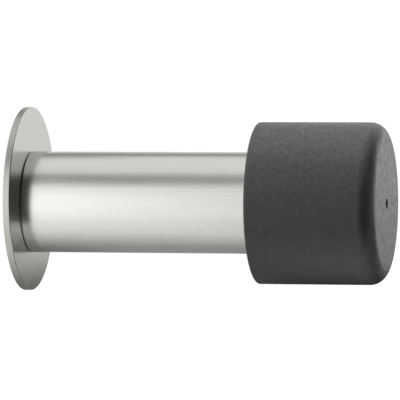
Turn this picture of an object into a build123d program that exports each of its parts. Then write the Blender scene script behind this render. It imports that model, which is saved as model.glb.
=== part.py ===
from build123d import *
import os

# Wall door stop: a rubber-capped tube that stands off from the wall on a thin round rose.
# Millimetres. The wall is the YZ plane at X = 0, the stem runs along +X, and +Z is up.

# Overall
projection = 80.0  # wall face to the front of the buffer
fit_clearance = 0.02  # radial room where one round piece is pushed into or over another

# Rose: a loose stainless disc between the wall and the stem
rose_diameter = 40.0
rose_thickness = 1.5
rose_edge_break = 0.2
rose_lift = 0.7  # the loose disc sits this far above the stem's axis, within its play on the stud
stud_diameter = 8.0  # the stud that stands out of the wall, an M8 thread
stud_play = 1.0  # radial room round the stud in the rose's hole

# Stem: stainless tube whose wall end bears on the rose
stem_diameter = 22.0
stem_wall = 1.5
stem_edge_break = 0.3  # its outer end edges, which leave a fine dark line against the rose

# Threaded base: turned plug that is pressed into the wall end of the stem
base_length = 12.0
base_recess = 0.5  # it lies back from the stem's end, so that the tube's rim carries the clamping
base_lead_in = 0.6
thread_core_diameter = 6.8  # drilled size of the M8 thread
countersink_margin = 0.4  # the countersink is this much wider than the stud

# Buffer: moulded rubber cap over the outer end of the stem
buffer_diameter = 35.0
buffer_length = 28.0
buffer_end_wall = 8.0  # rubber in front of the tube's end
buffer_front_radius = 3.5
buffer_rear_radius = 0.5
socket_lead_in = 0.5
vent_diameter = 2.0  # lets the air out when the cap is pushed onto the tube

# Places and sizes that follow from the values above
rose_hole_diameter = stud_diameter + 2 * stud_play
stem_start = rose_thickness
stem_end = projection - buffer_end_wall
stem_bore = stem_diameter - 2 * stem_wall
base_start = stem_start + base_recess
base_diameter = stem_bore - 2 * fit_clearance
buffer_start = projection - buffer_length
socket_radius = stem_diameter / 2 + fit_clearance

os.makedirs("parts", exist_ok=True)

# Rose: flat disc with both rims lightly broken and a clearance hole for the stud
rose_centre = Plane(origin=(0, 0, rose_lift), x_dir=(0, 1, 0), z_dir=(1, 0, 0))
with BuildPart() as wall_rose:
    with BuildSketch(rose_centre):
        Circle(rose_diameter / 2)
        Circle(rose_hole_diameter / 2, mode=Mode.SUBTRACT)
    extrude(amount=rose_thickness)
    rims = wall_rose.edges().filter_by(GeomType.CIRCLE).group_by(SortBy.RADIUS)[-1]
    chamfer(rims, rose_edge_break)
wall_rose.part.label = "wall_rose"

# Stem: tube from the rose to the floor of the buffer's socket
with BuildPart() as stem_tube:
    with BuildSketch(Plane.YZ.offset(stem_start)):
        Circle(stem_diameter / 2)
        Circle(stem_bore / 2, mode=Mode.SUBTRACT)
    extrude(amount=stem_end - stem_start)
    outer_ends = stem_tube.edges().filter_by(GeomType.CIRCLE).group_by(SortBy.RADIUS)[-1]
    chamfer(outer_ends, stem_edge_break)
stem_tube.part.label = "stem_tube"

# Threaded base: plug with a lead-in at its inner end, tapped through from the wall side
with BuildPart() as threaded_base:
    with BuildSketch(Plane.YZ.offset(base_start)):
        Circle(base_diameter / 2)
    extrude(amount=base_length)
    chamfer(threaded_base.faces().sort_by(Axis.X)[-1].edges(), base_lead_in)
    with Locations(threaded_base.faces().sort_by(Axis.X)[0]):
        CounterSinkHole(
            radius=thread_core_diameter / 2,
            counter_sink_radius=(stud_diameter + countersink_margin) / 2,
            counter_sink_angle=90,
        )
threaded_base.part.label = "threaded_base"

# Buffer: half section above the axis, turned about the stem
with BuildPart() as rubber_buffer:
    with BuildSketch(Plane.XZ) as section:
        with BuildLine():
            Polyline(
                (buffer_start, socket_radius),
                (buffer_start, buffer_diameter / 2),
                (projection, buffer_diameter / 2),
                (projection, vent_diameter / 2),
                (stem_end, vent_diameter / 2),
                (stem_end, socket_radius),
                close=True,
            )
        make_face()
        fillet(section.vertices().group_by(Axis.X)[-1].sort_by(Axis.Y)[-1], buffer_front_radius)
        fillet(section.vertices().group_by(Axis.X)[0].sort_by(Axis.Y)[-1], buffer_rear_radius)
        chamfer(section.vertices().group_by(Axis.X)[0].sort_by(Axis.Y)[0], socket_lead_in)
    revolve(axis=Axis.X)
rubber_buffer.part.label = "rubber_buffer"

export_step(wall_rose.part, "parts/wall_rose.step")
export_step(stem_tube.part, "parts/stem_tube.step")
export_step(threaded_base.part, "parts/threaded_base.step")
export_step(rubber_buffer.part, "parts/rubber_buffer.step")
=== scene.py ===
from math import ceil, cos, pi, radians, sin, tan

import bpy
from mathutils import Matrix, Vector


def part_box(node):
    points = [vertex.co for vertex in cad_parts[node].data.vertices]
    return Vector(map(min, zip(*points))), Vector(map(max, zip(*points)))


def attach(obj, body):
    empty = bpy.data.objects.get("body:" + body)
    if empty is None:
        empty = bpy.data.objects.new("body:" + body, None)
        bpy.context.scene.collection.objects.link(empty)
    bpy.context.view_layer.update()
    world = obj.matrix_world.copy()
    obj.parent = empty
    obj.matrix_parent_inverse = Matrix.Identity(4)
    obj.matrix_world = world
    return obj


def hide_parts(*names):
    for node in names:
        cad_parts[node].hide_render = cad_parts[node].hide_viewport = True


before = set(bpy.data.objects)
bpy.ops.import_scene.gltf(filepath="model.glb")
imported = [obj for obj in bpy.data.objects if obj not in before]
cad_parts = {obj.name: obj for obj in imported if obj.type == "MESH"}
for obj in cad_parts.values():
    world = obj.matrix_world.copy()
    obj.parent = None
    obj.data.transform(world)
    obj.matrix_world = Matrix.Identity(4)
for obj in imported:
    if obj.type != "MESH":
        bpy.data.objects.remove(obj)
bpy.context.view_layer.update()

# Wall door stop: satin stainless rose and tube with a moulded rubber buffer.
# Metres, in the frame of the part: the wall is at X = 0, the stem runs along +X, +Z is up.
MM = 0.001

# Sizes that the boxes of the nodes don't show
ROSE_HOLE_RADIUS = 5.0 * MM
TUBE_WALL = 1.5 * MM
BUFFER_END_WALL = 8.0 * MM
VENT_RADIUS = 1.0 * MM

# The plug's M8 thread and the countersink that leads into it
THREAD_RADIUS = 4.0 * MM
THREAD_CORE = 3.4 * MM
THREAD_PITCH = 1.25 * MM
THREAD_SLOPE = 1.2  # of the flanks; above 1 the crests are flat
COUNTERSINK_RADIUS = 4.2 * MM
PLUG_LEAD_IN = 0.6 * MM

# Corner radii
ROSE_RIM = 0.2 * MM
TUBE_RIM = 0.3 * MM
BUFFER_FRONT = 3.5 * MM
BUFFER_REAR = 0.5 * MM
SOCKET_MOUTH = 0.4 * MM
VENT_MOUTH = 0.3 * MM
HIDDEN_EDGE = 0.1 * MM

# How finely the pieces are divided
ARC_STEP = radians(12)
ROSE_SIDES = 240
TUBE_SIDES = 192
BUFFER_SIDES = 240
PLUG_SIDES = 96
THREAD_ROWS = 8  # along each turn of the thread
PLUG_SHARP_EDGE = radians(25)
RIM_LEAN = 0.3  # faces of the rose whose normal has less than this along X belong to its cut rim

# Sizes in the finishes. The real ones are given with each material.
STREAK_LENGTH = 12 * MM
STREAK_WIDTH = 0.3 * MM
TUBE_STREAK_WIDTH = 0.55 * MM
STREAK_DEPTH = 0.002 * MM
STREAK_GLOSS = 0.01  # by which the roughness varies from streak to streak
RING_SPACING = 0.6 * MM
RING_DEPTH = 0.01 * MM
GRAIN_SIZE = 0.7 * MM
GRAIN_DEPTH = 0.16 * MM
CLOUD_SIZE = 1.6 * MM

# Most of a noise pattern lies between these values
NOISE_LOW = 0.3
NOISE_HIGH = 0.7

# The wave pattern runs through this many radians in a metre at a scale of 1
WAVE_RADIANS = 20

# The photograph's view: directions in degrees, and the width that the picture spans at the object
VIEW_AZIMUTH = 12.46
VIEW_ELEVATION = 7.9
VIEW_ROLL = -1.4
VIEW_TARGET = Vector((38.93, 0.0, 0.58)) * MM
VIEW_DISTANCE = 966 * MM
VIEW_WIDTH = 86.66 * MM

# Studio
AMBIENT = 0.05  # what the white surroundings give to dull surfaces
FLOOR_DROP = 450 * MM
FLOOR_REACH = 6.0  # from its middle to each edge
FLOOR_GLOW = 0.16  # what it adds to the light on it, so that it meets the white
LOW_CARDS = -58 * MM  # height of the lowest card under the stem
LAMP_WATTS = 4  # for each square metre of a lamp's face, at a brightness of 1


def linear(hex_colour):
    """The linear colour that a shader takes, from an sRGB hex value."""
    channels = [int(hex_colour[i:i + 2], 16) / 255 for i in (1, 3, 5)]
    return [c / 12.92 if c <= 0.04045 else ((c + 0.055) / 1.055) ** 2.4 for c in channels] + [1.0]


def add_node(tree, kind, inputs={}, **settings):
    """Adds a node. Each input is a value, or an output of an earlier node that is linked to it."""
    node = tree.nodes.new(kind)
    for name, value in settings.items():
        setattr(node, name, value)
    for name, value in inputs.items():
        if isinstance(value, bpy.types.NodeSocket):
            tree.links.new(value, node.inputs[name])
        else:
            node.inputs[name].default_value = value
    return node


def new_material(name):
    """An empty node material and its tree."""
    material = bpy.data.materials.new(name)
    material.use_nodes = True
    material.node_tree.nodes.clear()
    return material, material.node_tree


# Shapes

def rounded_outline(corners):
    """A closed outline in (x, radius), anticlockwise, with each corner rounded by its own arc.
    Returns points with their outward normals, so that reflections run true across the arcs."""
    outline = []
    for i, (x, r, rounding) in enumerate(corners):
        here = Vector((x, r))
        back = (Vector(corners[i - 1][:2]) - here).normalized()
        on = (Vector(corners[(i + 1) % len(corners)][:2]) - here).normalized()
        between = back.angle(on)
        outward = 1 if back.x * on.y - back.y * on.x < 0 else -1
        centre = here + (back + on).normalized() * rounding / sin(between / 2)
        start = here + back * rounding / tan(between / 2) - centre
        turn = (pi - between) * outward
        steps = max(2, ceil(abs(turn) / ARC_STEP))
        for k in range(steps + 1):
            spoke = Matrix.Rotation(turn * k / steps, 2) @ start
            outline.append((centre + spoke, spoke.normalized() * outward))
    return outline


def ring_piece(name, rings):
    """A closed mesh over closed rings of points, each joined to the next and the last to the first."""
    count = len(rings[0])
    faces = []
    for s in range(len(rings)):
        here, there = s * count, (s + 1) % len(rings) * count
        for k in range(count):
            on = (k + 1) % count
            faces.append((here + k, here + on, there + on, there + k))
    mesh = bpy.data.meshes.new(name)
    mesh.from_pydata([point for ring in rings for point in ring], [], faces)
    mesh.polygons.foreach_set("use_smooth", [True] * len(faces))
    piece = bpy.data.objects.new(name, mesh)
    bpy.context.scene.collection.objects.link(piece)
    return piece


def turned_piece(name, outline, sides, axis_height=0.0):
    """The outline turned about a line along X at that height."""
    rings, normals = [], []
    for s in range(sides):
        angle = 2 * pi * s / sides
        rings.append([(x, r * cos(angle), r * sin(angle) + axis_height) for (x, r), _ in outline])
        normals += [(nx, nr * cos(angle), nr * sin(angle)) for _, (nx, nr) in outline]
    piece = ring_piece(name, rings)
    piece.data.normals_split_custom_set_from_vertices(normals)
    return piece


def dress(piece, node, material):
    """The piece stands for a node, moves with the part and takes that finish."""
    piece.data.materials.append(material)
    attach(piece, "root")
    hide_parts(node)


def node_sizes(node):
    """(start x, end x, radius, height of the axis) of a round node."""
    low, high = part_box(node)
    return low.x, high.x, (high.z - low.z) / 2, (high.z + low.z) / 2


def rose_disc():
    """The rose, with its cut rim as a second material."""
    back, front, radius, height = node_sizes("wall_rose")
    outline = rounded_outline([
        (back, ROSE_HOLE_RADIUS, HIDDEN_EDGE),
        (front, ROSE_HOLE_RADIUS, HIDDEN_EDGE),
        (front, radius, ROSE_RIM),
        (back, radius, ROSE_RIM),
    ])
    disc = turned_piece("rose_disc", outline, ROSE_SIDES, height)
    for face in disc.data.polygons:
        face.material_index = int(abs(face.normal.x) < RIM_LEAN)
    return disc


def standoff_tube():
    """The tube, with its outer edges lightly rounded."""
    start, end, radius = node_sizes("stem_tube")[:3]
    outline = rounded_outline([
        (start, radius - TUBE_WALL, HIDDEN_EDGE),
        (end, radius - TUBE_WALL, HIDDEN_EDGE),
        (end, radius, TUBE_RIM),
        (start, radius, TUBE_RIM),
    ])
    return turned_piece("standoff_tube", outline, TUBE_SIDES)


def buffer_cap():
    """The rubber cap, with the socket that the tube fills and the vent through its end wall."""
    start, end, radius = node_sizes("rubber_buffer")[:3]
    socket = node_sizes("stem_tube")[2]
    floor = end - BUFFER_END_WALL
    outline = rounded_outline([
        (start, socket, SOCKET_MOUTH),
        (floor, socket, HIDDEN_EDGE),
        (floor, VENT_RADIUS, HIDDEN_EDGE),
        (end, VENT_RADIUS, VENT_MOUTH),
        (end, radius, BUFFER_FRONT),
        (start, radius, BUFFER_REAR),
    ])
    return turned_piece("buffer_cap", outline, BUFFER_SIDES)


def threaded_plug():
    """The base, with the thread that the plain hole of the solid stands for."""
    start, end, radius = node_sizes("threaded_base")[:3]
    rows = THREAD_ROWS * ceil((end - start) / THREAD_PITCH)
    outside = [(end, radius - PLUG_LEAD_IN), (end - PLUG_LEAD_IN, radius), (start, radius)]
    rings = []
    for s in range(PLUG_SIDES):
        section = []
        for k in range(rows + 1):
            x = start + (end - start) * k / rows
            turn_part = (x / THREAD_PITCH - s / PLUG_SIDES) % 1.0
            groove = THREAD_RADIUS - (THREAD_RADIUS - THREAD_CORE) * abs(2 * turn_part - 1) * THREAD_SLOPE
            countersink = COUNTERSINK_RADIUS - (x - start)
            section.append((x, max(THREAD_CORE, groove, countersink)))
        angle = 2 * pi * s / PLUG_SIDES
        rings.append([(x, r * cos(angle), r * sin(angle)) for x, r in section + outside])
    plug = ring_piece("threaded_plug", rings)
    plug.data.set_sharp_from_angle(angle=PLUG_SHARP_EDGE)
    return plug


# Materials

def satin_steel(name, spacing, dark, light, roughness=0.23, smear=0.0):
    """Stainless steel, satin ground with a fine belt: soft clean reflections in a neutral, faintly warm grey.
    The spacing of its streaks is given along x, y and z. Real streaks are about 0.05 mm wide; the ones here
    are 0.3 mm or more, so that they show. A smear draws reflections out around the stem, across the streaks
    that run along it."""
    material, tree = new_material(name)
    place = add_node(tree, "ShaderNodeTexCoord")
    stretch = add_node(tree, "ShaderNodeMapping", {
        "Vector": place.outputs["Object"], "Scale": [1 / size for size in spacing]})
    streaks = add_node(tree, "ShaderNodeTexNoise", {
        "Vector": stretch.outputs["Vector"], "Scale": 1.0, "Detail": 3.0, "Roughness": 0.6})
    shade = add_node(tree, "ShaderNodeValToRGB", {"Fac": streaks.outputs["Fac"]})
    shade.color_ramp.elements[0].position = NOISE_LOW
    shade.color_ramp.elements[0].color = linear(dark)
    shade.color_ramp.elements[1].position = NOISE_HIGH
    shade.color_ramp.elements[1].color = linear(light)
    gloss = add_node(tree, "ShaderNodeMapRange", {
        "Value": streaks.outputs["Fac"], "From Min": NOISE_LOW, "From Max": NOISE_HIGH,
        "To Min": roughness - STREAK_GLOSS, "To Max": roughness + STREAK_GLOSS})
    scratches = add_node(tree, "ShaderNodeBump", {
        "Height": streaks.outputs["Fac"], "Strength": 0.03, "Distance": STREAK_DEPTH})
    steel = add_node(tree, "ShaderNodeBsdfPrincipled", {
        "Base Color": shade.outputs["Color"], "Metallic": 1.0, "Roughness": gloss.outputs["Result"],
        "Anisotropic": smear, "Normal": scratches.outputs["Normal"]})
    if smear:
        girth = add_node(tree, "ShaderNodeTangent", direction_type="RADIAL", axis="X")
        tree.links.new(girth.outputs["Tangent"], steel.inputs["Tangent"])
    add_node(tree, "ShaderNodeOutputMaterial", {"Surface": steel.outputs["BSDF"]})
    return material


def turned_steel():
    """Plain steel, turned on a lathe: fine rings about the axis, duller than the ground pieces.
    The real rings are about 0.2 mm apart; the ones here are 0.6 mm apart, so that they show."""
    material, tree = new_material("turned_steel")
    place = add_node(tree, "ShaderNodeTexCoord")
    rings = add_node(tree, "ShaderNodeTexWave", {
        "Vector": place.outputs["Object"], "Scale": 2 * pi / (WAVE_RADIANS * RING_SPACING),
        "Distortion": 0.6, "Detail": 2.0}, wave_type="RINGS", rings_direction="X")
    shade = add_node(tree, "ShaderNodeValToRGB", {"Fac": rings.outputs["Fac"]})
    shade.color_ramp.elements[0].color = linear("#A9A7A1")
    shade.color_ramp.elements[1].color = linear("#B8B6B0")
    cuts = add_node(tree, "ShaderNodeBump", {
        "Height": rings.outputs["Fac"], "Strength": 0.4, "Distance": RING_DEPTH})
    steel = add_node(tree, "ShaderNodeBsdfPrincipled", {
        "Base Color": shade.outputs["Color"], "Metallic": 1.0, "Roughness": 0.34,
        "Normal": cuts.outputs["Normal"]})
    add_node(tree, "ShaderNodeOutputMaterial", {"Surface": steel.outputs["BSDF"]})
    return material


def moulded_rubber():
    """Dark grey rubber from a spark-eroded mould: dull, with a fine even grain that breaks up its sheen, and
    a faint cloudiness in the sheen from patches about 1.6 mm across.
    The real grain is about 0.1 mm; here it goes up to 0.7 mm, so that it shows."""
    material, tree = new_material("moulded_rubber")
    place = add_node(tree, "ShaderNodeTexCoord")
    grain = add_node(tree, "ShaderNodeTexNoise", {
        "Vector": place.outputs["Object"], "Scale": 1 / GRAIN_SIZE, "Detail": 4.0, "Roughness": 0.8})
    shade = add_node(tree, "ShaderNodeValToRGB", {"Fac": grain.outputs["Fac"]})
    shade.color_ramp.elements[0].position = NOISE_LOW
    shade.color_ramp.elements[0].color = linear("#2B2B2C")
    shade.color_ramp.elements[1].position = NOISE_HIGH
    shade.color_ramp.elements[1].color = linear("#4C4C4D")
    clouds = add_node(tree, "ShaderNodeTexNoise", {
        "Vector": place.outputs["Object"], "Scale": 1 / CLOUD_SIZE, "Detail": 2.0, "Roughness": 0.5})
    unevenness = add_node(tree, "ShaderNodeMath", {
        0: grain.outputs["Fac"], 1: clouds.outputs["Fac"]}, operation="ADD")
    # The highs and lows of the two patterns seldom meet, so most of their sum is between 0.7 and 1.3
    gloss = add_node(tree, "ShaderNodeMapRange", {
        "Value": unevenness.outputs["Value"], "From Min": 0.7, "From Max": 1.3,
        "To Min": 0.54, "To Max": 0.32})
    pits = add_node(tree, "ShaderNodeBump", {
        "Height": grain.outputs["Fac"], "Strength": 0.5, "Distance": GRAIN_DEPTH})
    rubber = add_node(tree, "ShaderNodeBsdfPrincipled", {
        "Base Color": shade.outputs["Color"], "Roughness": gloss.outputs["Result"],
        "Specular IOR Level": 0.55, "Normal": pits.outputs["Normal"]})
    add_node(tree, "ShaderNodeOutputMaterial", {"Surface": rubber.outputs["BSDF"]})
    return material


# Studio

def make_camera():
    """A long lens at the photograph's angle and distance."""
    azimuth, elevation, roll = (radians(d) for d in (VIEW_AZIMUTH, VIEW_ELEVATION, VIEW_ROLL))
    back = Vector((sin(azimuth) * cos(elevation), -cos(azimuth) * cos(elevation), sin(elevation)))
    right = Vector((cos(azimuth), sin(azimuth), 0))
    up = back.cross(right)
    axes = Matrix((right, up, back)).transposed() @ Matrix.Rotation(roll, 3, "Z")
    camera = bpy.data.objects.new("camera", bpy.data.cameras.new("camera"))
    camera.data.lens = camera.data.sensor_width * VIEW_DISTANCE / VIEW_WIDTH
    camera.data.clip_start = 0.1 * VIEW_DISTANCE
    camera.matrix_world = Matrix.Translation(VIEW_TARGET + back * VIEW_DISTANCE) @ axes.to_4x4()
    bpy.context.scene.collection.objects.link(camera)
    bpy.context.scene.camera = camera


def eye_rays(tree):
    """1 for what the eye sees, straight, mirrored or refracted, and 0 for what lights dull surfaces."""
    path = add_node(tree, "ShaderNodeLightPath")
    seen = add_node(tree, "ShaderNodeMath", {
        0: path.outputs["Is Camera Ray"], 1: path.outputs["Is Glossy Ray"]}, operation="ADD")
    return add_node(tree, "ShaderNodeMath", {
        0: seen.outputs["Value"], 1: path.outputs["Is Transmission Ray"]}, operation="ADD", use_clamp=True)


def white_surroundings():
    """White to the eye and in reflections; a low level of it lights the dull surfaces."""
    world = bpy.data.worlds.new("studio")
    world.use_nodes = True
    tree = world.node_tree
    tree.nodes.clear()
    seen = eye_rays(tree)
    level = add_node(tree, "ShaderNodeMapRange", {
        "Value": seen.outputs["Value"], "To Min": AMBIENT, "To Max": 1.0})
    light = add_node(tree, "ShaderNodeBackground", {
        "Color": linear("#FFFFFF"), "Strength": level.outputs["Result"]})
    add_node(tree, "ShaderNodeOutputWorld", {"Surface": light.outputs["Background"]})
    bpy.context.scene.world = world


def flat_board(name, width, height, material):
    """A flat rectangle about its own middle."""
    x, y = width / 2, height / 2
    mesh = bpy.data.meshes.new(name)
    mesh.from_pydata([(-x, -y, 0), (x, -y, 0), (x, y, 0), (-x, y, 0)], [], [(0, 1, 2, 3)])
    mesh.materials.append(material)
    board = bpy.data.objects.new(name, mesh)
    bpy.context.scene.collection.objects.link(board)
    return board


def pale_floor():
    """White painted floor. It keeps the object's shadow, and glows a little to the eye to meet the white."""
    material, tree = new_material("pale_floor")
    seen = eye_rays(tree)
    glow = add_node(tree, "ShaderNodeMath", {0: seen.outputs["Value"], 1: FLOOR_GLOW}, operation="MULTIPLY")
    paint = add_node(tree, "ShaderNodeBsdfPrincipled", {
        "Base Color": linear("#E9E9E7"), "Roughness": 0.9, "Specular IOR Level": 0.0,
        "Emission Color": linear("#FFFFFF"), "Emission Strength": glow.outputs["Value"]})
    add_node(tree, "ShaderNodeOutputMaterial", {"Surface": paint.outputs["BSDF"]})
    floor = flat_board("floor", 2 * FLOOR_REACH, 2 * FLOOR_REACH, material)
    floor.location.z = -FLOOR_DROP
    floor.visible_diffuse = False


def aim(across, around, distance, along=0.0):
    """Place that faces the stem from a direction: degrees from +X, and degrees from the front over the top.
    It is then moved along the stem."""
    a, b = radians(across), radians(around)
    toward = Vector((cos(a), -sin(a) * cos(b), sin(a) * sin(b)))
    side = (Vector((1, 0, 0)) - toward * toward.x).normalized()
    axes = Matrix((side, toward.cross(side), toward)).transposed()
    shift = Matrix.Translation((along, 0, 0))
    return shift @ Matrix.Translation(VIEW_TARGET + toward * distance) @ axes.to_4x4()


def beneath(x, y, lift=0.0, turn=0.0):
    """Place of a level card under the stem, turned by degrees about the upright."""
    return Matrix.Translation((x, y, LOW_CARDS + lift)) @ Matrix.Rotation(radians(turn), 4, "Z")


def softbox(name, place, side, level):
    """A square lamp for the dull surfaces. Its level is the brightness of its face, where white is 1."""
    lamp = bpy.data.lights.new(name, "AREA")
    lamp.shape = "SQUARE"
    lamp.size = side
    lamp.energy = LAMP_WATTS * level * side * side
    holder = bpy.data.objects.new(name, lamp)
    holder.matrix_world = place
    holder.visible_camera = holder.visible_glossy = False
    bpy.context.scene.collection.objects.link(holder)


def sky_light(name, place, level, spread):
    """Broad even light from one side, that reaches the whole floor alike. Its level is about the
    brightness of a white surface that faces it, and its spread is in degrees."""
    lamp = bpy.data.lights.new(name, "SUN")
    lamp.energy = level * pi
    lamp.angle = radians(spread)
    holder = bpy.data.objects.new(name, lamp)
    holder.matrix_world = place
    holder.visible_glossy = False
    bpy.context.scene.collection.objects.link(holder)


def flag(name, place, size, level, feather):
    """A card that only shows in reflections. Its level is its brightness, where the white of the studio is 1,
    and each edge fades over the share of the card that feather gives."""
    material, tree = new_material(name)
    where = add_node(tree, "ShaderNodeTexCoord")
    sides = add_node(tree, "ShaderNodeSeparateXYZ", {"Vector": where.outputs["Generated"]})
    cover = []
    for axis in "XY":
        inward = add_node(tree, "ShaderNodeMath", {0: sides.outputs[axis], 1: 0.5}, operation="PINGPONG")
        cover.append(add_node(tree, "ShaderNodeMapRange", {
            "Value": inward.outputs["Value"], "From Max": feather}, interpolation_type="SMOOTHSTEP"))
    both = add_node(tree, "ShaderNodeMath", {
        0: cover[0].outputs["Result"], 1: cover[1].outputs["Result"]}, operation="MULTIPLY")
    clear = add_node(tree, "ShaderNodeBsdfTransparent")
    glow = add_node(tree, "ShaderNodeEmission", {"Strength": level})
    blend = add_node(tree, "ShaderNodeMixShader", {
        "Fac": both.outputs["Value"], 1: clear.outputs["BSDF"], 2: glow.outputs["Emission"]})
    add_node(tree, "ShaderNodeOutputMaterial", {"Surface": blend.outputs["Shader"]})
    card = flat_board(name, *size, material)
    card.matrix_world = place
    card.visible_camera = card.visible_diffuse = card.visible_shadow = False


# The door stop: streaks run up the face of the rose, across its rim and along the tube
rose = rose_disc()
dress(rose, "wall_rose", satin_steel(
    "satin_stainless_rose", (STREAK_LENGTH, STREAK_WIDTH, STREAK_LENGTH), "#A6A7A1", "#B0B1AB"))
rose.data.materials.append(satin_steel(
    "cut_rim_steel", (STREAK_LENGTH, STREAK_WIDTH, STREAK_WIDTH), "#ABACA6", "#B3B4AE", roughness=0.34))
dress(standoff_tube(), "stem_tube", satin_steel(
    "satin_stainless_tube", (STREAK_LENGTH, TUBE_STREAK_WIDTH, TUBE_STREAK_WIDTH), "#CECFC9", "#D4D5CF",
    smear=0.7))
dress(threaded_plug(), "threaded_base", turned_steel())
dress(buffer_cap(), "rubber_buffer", moulded_rubber())

# The studio, with its lamps and cards in metres
white_surroundings()
pale_floor()
sky_light("overhead_light", aim(122, 82, 1.0), level=1.25, spread=62)
softbox("upper_right_softbox", aim(64, 105, 0.22), side=0.15, level=2.4)
softbox("low_fill", aim(80, -75, 0.4), side=0.4, level=0.36)
flag("front_left_card", aim(127, 6, 0.25), size=(0.33, 0.56), level=1.9, feather=0.5)
flag("rear_right_card", aim(60, 179, 0.45), size=(0.2, 0.2), level=2.7, feather=0.3)
flag("front_right_flag", aim(51, 14, 0.4), size=(0.83, 1.44), level=0.08, feather=0.12)
flag("right_flag", aim(0, 0, 0.45), size=(0.9, 0.9), level=0.0, feather=0.2)
flag("top_right_flag", aim(40, 105, 0.4), size=(0.5, 0.6), level=0.0, feather=0.2)
flag("upper_slot_flag", aim(105, 60.5, 0.39), size=(0.18, 0.25), level=0.32, feather=0.3)
flag("rear_top_flag", aim(90, 145, 0.2, along=-0.05), size=(0.11, 0.106), level=0.26, feather=0.3)
flag("low_right_flag", aim(94, -42, 0.4), size=(0.14, 0.5), level=0.6, feather=0.5)
flag("low_rear_flag", beneath(0.04, 0.137), size=(1.2, 0.386), level=0.36, feather=0.2)
flag("rear_left_flag", aim(90, 137, 0.19, along=-0.094), size=(0.1, 0.15), level=0.18, feather=0.5)
flag("low_left_flag", beneath(-0.012, 0.04, lift=4 * MM), size=(0.05, 0.12), level=0.18, feather=0.5)
flag("under_buffer_card", beneath(0.076, -0.028, lift=8 * MM), size=(0.064, 0.06), level=1.15, feather=0.3)
flag("under_buffer_flag", beneath(0.055, 0.118, lift=8 * MM, turn=13), size=(0.074, 0.23), level=0.0,
     feather=0.15)
make_camera()
bpy.context.scene.view_settings.view_transform = "Standard"
